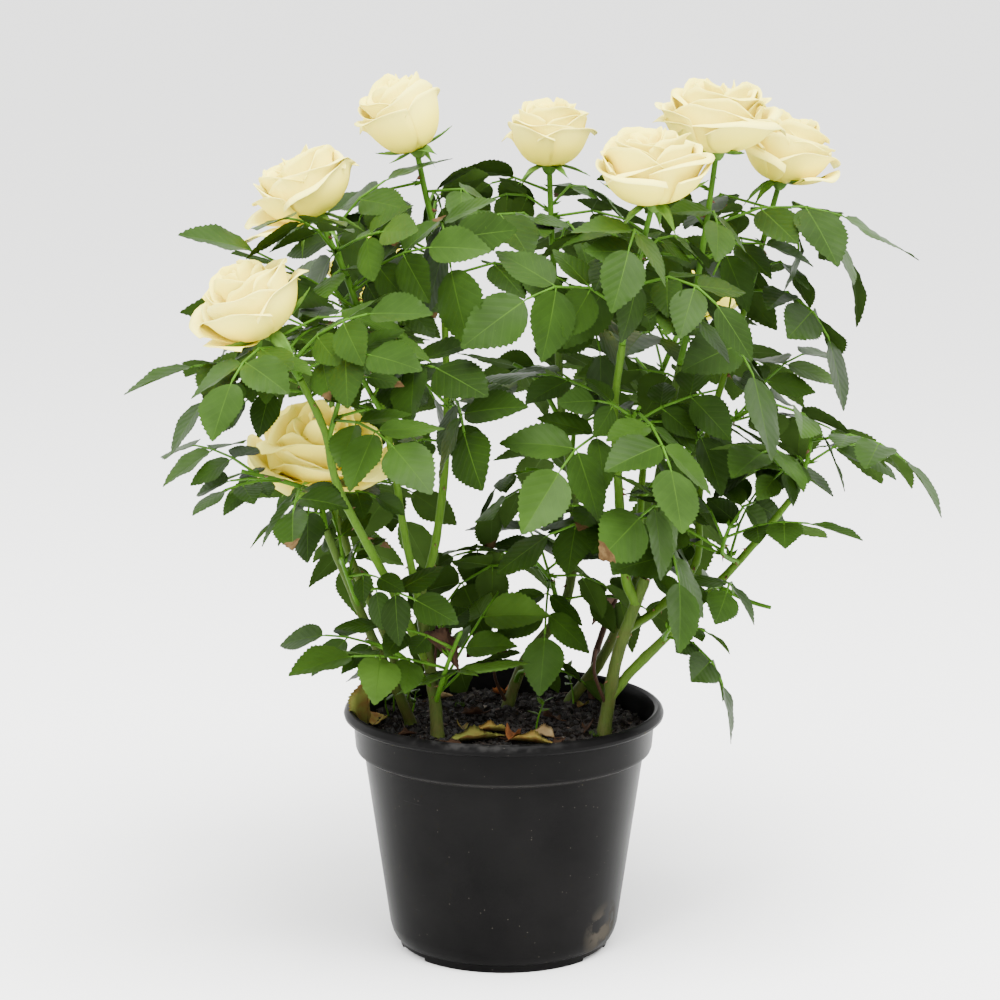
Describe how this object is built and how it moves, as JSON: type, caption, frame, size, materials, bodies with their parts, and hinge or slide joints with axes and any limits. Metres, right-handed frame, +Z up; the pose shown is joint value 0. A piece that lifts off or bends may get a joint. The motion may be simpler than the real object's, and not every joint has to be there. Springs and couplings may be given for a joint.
{
  "type": "potted rose bush",
  "caption": "Bushy patio rose with cream blooms on arching green canes, standing in a round black nursery pot of peat.",
  "frame": {"origin": "centre of the pot's underside, on the surface it stands on", "axes": "+Z up along the pot's axis, -Y towards the front of the plant, +X to the right seen from the front"},
  "size_m": [0.4835, 0.4382, 0.5541],
  "materials": {
    "black_plastic": "satin black moulded plastic with scuffs and dust",
    "peat": "dark moist granular peat",
    "dead_leaf": "dry matt",
    "dead_wood": "dry brown bark",
    "cane_green": "smooth green bark with thorns",
    "foliage": "semi-gloss leaves with matt cream petals"
  },
  "bodies": {
    "root": {"bough_centre_right": "cane_green", "bough_left_front": "cane_green", "bough_left_high": "cane_green", "bough_left_inner": "cane_green", "bough_right_back": "cane_green", "bough_right_inner": "cane_green", "bough_right_outer": "cane_green", "cane_centre_back": "cane_green", "cane_front": "cane_green", "cane_left_back": "cane_green", "cane_left_front": "cane_green", "cane_right_back": "cane_green", "cane_right_front": "cane_green", "dead_cane": "dead_wood", "dead_leaf_1": "dead_leaf", "dead_leaf_2": "dead_leaf", "dead_leaf_3": "dead_leaf", "pot": "black_plastic", "shoot_back_left": "foliage", "shoot_back_right": "foliage", "shoot_centre": "foliage", "shoot_centre_right": "foliage", "shoot_left_front": "foliage", "shoot_left_high": "foliage", "shoot_left_low": "foliage", "shoot_right_high": "foliage", "shoot_right_top": "foliage", "shoot_top_left": "foliage", "soil": "peat", "spray_back_centre": "foliage", "spray_back_left_high": "foliage", "spray_back_left_low": "foliage", "spray_back_right_low": "foliage", "spray_centre": "foliage", "spray_centre_low": "foliage", "spray_centre_upper": "foliage", "spray_front_low": "foliage", "spray_inner_left": "foliage", "spray_left_crown": "foliage", "spray_left_far": "foliage", "spray_left_fork": "foliage", "spray_left_tip": "foliage", "spray_left_upper": "foliage", "spray_low_front": "foliage", "spray_low_left": "foliage", "spray_right_centre": "foliage", "spray_right_fill": "foliage", "spray_right_low": "foliage", "spray_right_mid": "foliage", "spray_right_outer": "foliage", "spray_right_skirt": "foliage", "spray_right_under": "foliage", "spray_soil": "foliage"}
  },
  "joints": []
}
